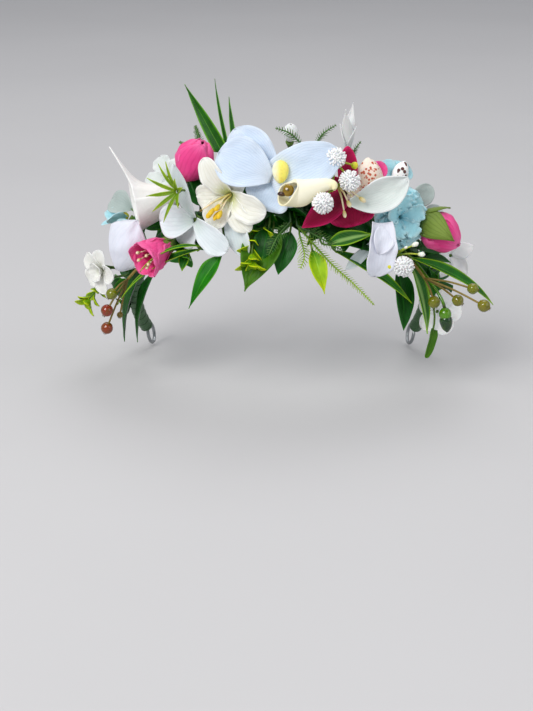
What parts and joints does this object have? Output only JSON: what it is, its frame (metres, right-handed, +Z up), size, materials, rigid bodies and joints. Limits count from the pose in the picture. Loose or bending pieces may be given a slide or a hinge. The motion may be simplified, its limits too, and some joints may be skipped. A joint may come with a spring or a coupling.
{
  "type": "flower crown",
  "caption": "Hair crown of artificial orchids, lilies, roses, leaves and berries wired to a taped band that is open at the back.",
  "frame": {"origin": "middle of the head the crown is worn on, at ear level", "axes": "+Z up as worn, +X towards the viewer's right, and the front of the crown faces -Y"},
  "size_m": [0.2233, 0.136, 0.1654],
  "materials": {
    "berry_olive": "glossy olive to red-brown berries on brown stems",
    "calyx_green": "olive green calyx and wrapped stem",
    "eucalyptus_grey": "grey-green translucent fabric leaf",
    "fern_green": "fine green fern",
    "leaf_green": "semi-gloss dark green plastic leaves with lime tips",
    "leaf_lime": "semi-gloss lime green plastic leaves",
    "petal_blush": "blush petals with orange-red spots",
    "petal_cream": "cream and yellow moulded orchid heart",
    "petal_lavender": "very pale lavender silk petals",
    "petal_magenta": "deep magenta velvety petals, paler at the edge",
    "petal_pale_blue": "printed pale blue silk petals with faint veins",
    "petal_pink": "hot pink silk petals",
    "petal_turquoise": "light turquoise woven fabric petals",
    "petal_white": "matte white silk petals",
    "pompom_white": "white spiky plastic balls",
    "stamen_yellow": "golden yellow plastic stamens",
    "tape_green": "dark green crepe floral tape",
    "wire_steel": "plain florist's wire"
  },
  "bodies": {
    "root": {"acorn_bud": "berry_olive", "back_white_bloom": "petal_white", "band_wire": "wire_steel", "blue_orchid_petals": "petal_pale_blue", "blue_orchid_stem": "calyx_green", "blush_orchid": "petal_blush", "boat_petal": "petal_white", "broad_leaf": "leaf_green", "calla_spadix": "stamen_yellow", "calla_spathe": "petal_white", "calla_stem": "calyx_green", "dark_leaf": "leaf_green", "delphinium": "petal_turquoise", "delphinium_stem": "calyx_green", "dogwood_petals": "petal_white", "dogwood_stem": "calyx_green", "far_white_bloom": "petal_white", "feather_star": "petal_white", "fern_front": "fern_green", "fern_top_left": "fern_green", "fern_top_right": "fern_green", "grass_tuft": "leaf_green", "grey_leaf_left": "eucalyptus_grey", "grey_leaf_right": "eucalyptus_grey", "lavender_bloom": "petal_lavender", "lavender_bloom_stem": "calyx_green", "left_bamboo_leaves": "leaf_green", "left_berries": "berry_olive", "left_tie_loop": "wire_steel", "lily_stamens": "stamen_yellow", "lime_leaf": "leaf_lime", "long_leaf": "leaf_green", "low_white_bloom": "petal_white", "magenta_orchid": "petal_magenta", "magenta_orchid_stem": "calyx_green", "orchid_column": "petal_cream", "orchid_lip": "petal_cream", "pale_bloom": "petal_lavender", "pink_bud_calyx": "calyx_green", "pink_bud_petals": "petal_pink", "pompom_right": "pompom_white", "pompom_sprig": "pompom_white", "ranunculus_calyx": "calyx_green", "ranunculus_petals": "petal_pink", "right_bamboo_leaves": "leaf_green", "right_berries": "berry_olive", "right_tie_loop": "wire_steel", "rosebud_calyx": "calyx_green", "rosebud_petals": "petal_pink", "spear_leaf": "leaf_green", "spotted_orchid": "petal_white", "strap_leaf": "leaf_lime", "striped_leaf": "leaf_green", "tape_wrap": "tape_green", "turquoise_star": "petal_turquoise", "white_lily_petals": "petal_white", "white_lily_stem": "calyx_green", "white_star": "petal_white", "white_top_bud": "petal_white", "willow_leaf": "leaf_green"}
  },
  "joints": []
}
